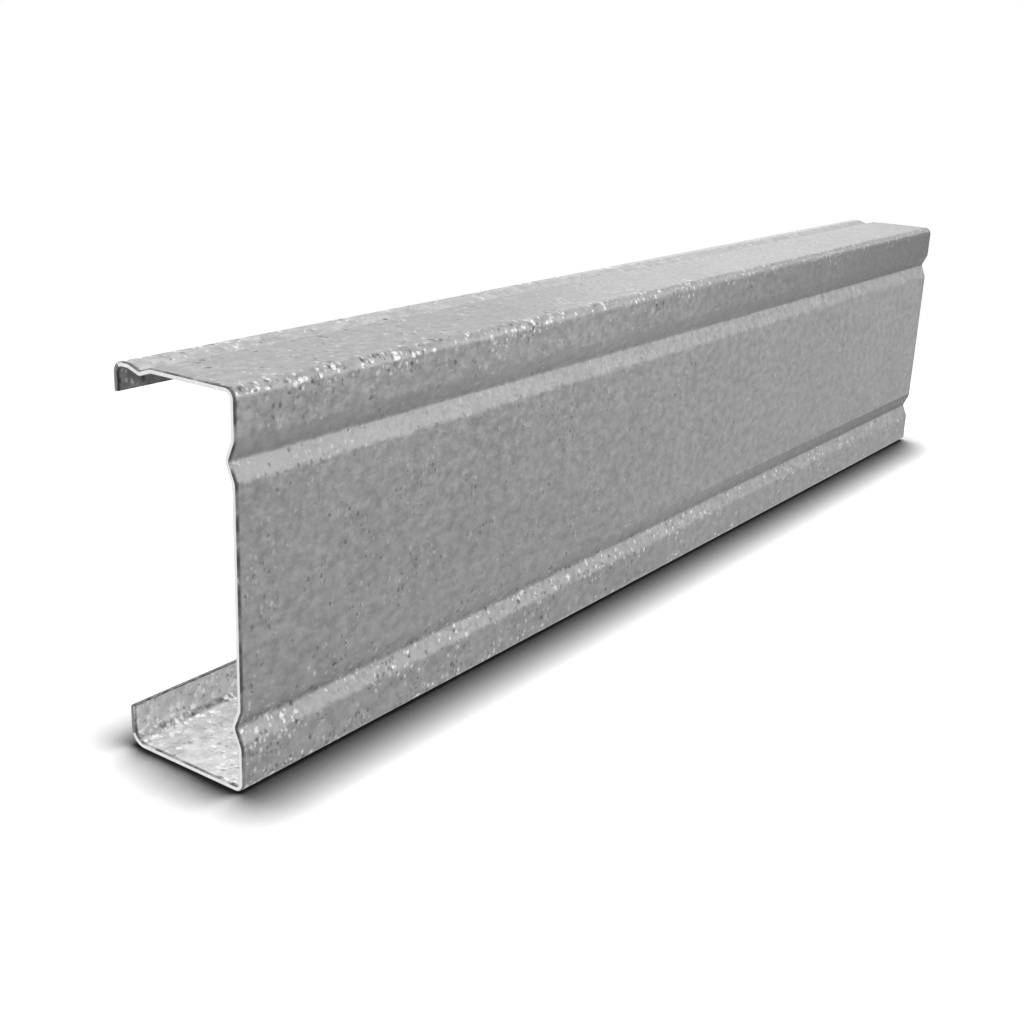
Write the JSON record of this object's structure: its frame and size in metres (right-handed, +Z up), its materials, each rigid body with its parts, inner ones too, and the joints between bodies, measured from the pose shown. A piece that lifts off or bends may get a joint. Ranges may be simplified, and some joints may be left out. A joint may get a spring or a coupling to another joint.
{
  "type": "light steel c-channel",
  "caption": "Straight length of lipped C section, cold-formed from light galvanised steel sheet, with stiffening grooves along its web and upper flange, for light framing.",
  "frame": {"origin": "centre of the part's footprint, at the level of the lower flange's underside", "axes": "+X along the length, +Y from the back of the web towards the lips and the open side, +Z up from the lower flange to the upper flange"},
  "size_m": [0.43, 0.04, 0.1],
  "materials": {
    "galvanised_steel": "hot-dip galvanised sheet with a fine minimised spangle, satin grey, bare bright steel at the cut edges"
  },
  "bodies": {
    "root": {"c_channel": "galvanised_steel"}
  },
  "joints": []
}
